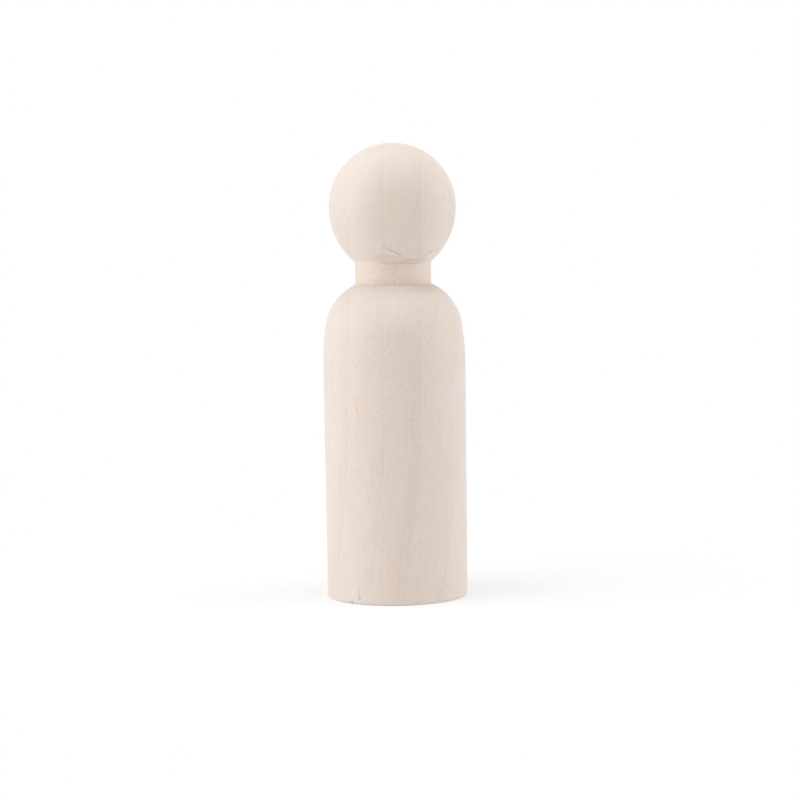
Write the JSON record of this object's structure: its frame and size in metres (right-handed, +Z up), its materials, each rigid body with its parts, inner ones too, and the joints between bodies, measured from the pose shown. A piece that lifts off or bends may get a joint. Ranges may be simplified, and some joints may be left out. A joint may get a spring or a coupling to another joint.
{
  "type": "peg doll",
  "caption": "Plain turned wooden peg doll with a round head, a short neck, sloping shoulders and a straight body that stands on its flat base.",
  "frame": {"origin": "centre of the flat base", "axes": "+Z up along the turning axis, from the base to the crown; -Y towards the viewer of the picture"},
  "size_m": [0.0283, 0.0282, 0.09],
  "materials": {
    "bare_wood": "fine sanded, unfinished, matt"
  },
  "bodies": {
    "root": {"turned_doll": "bare_wood"}
  },
  "joints": []
}
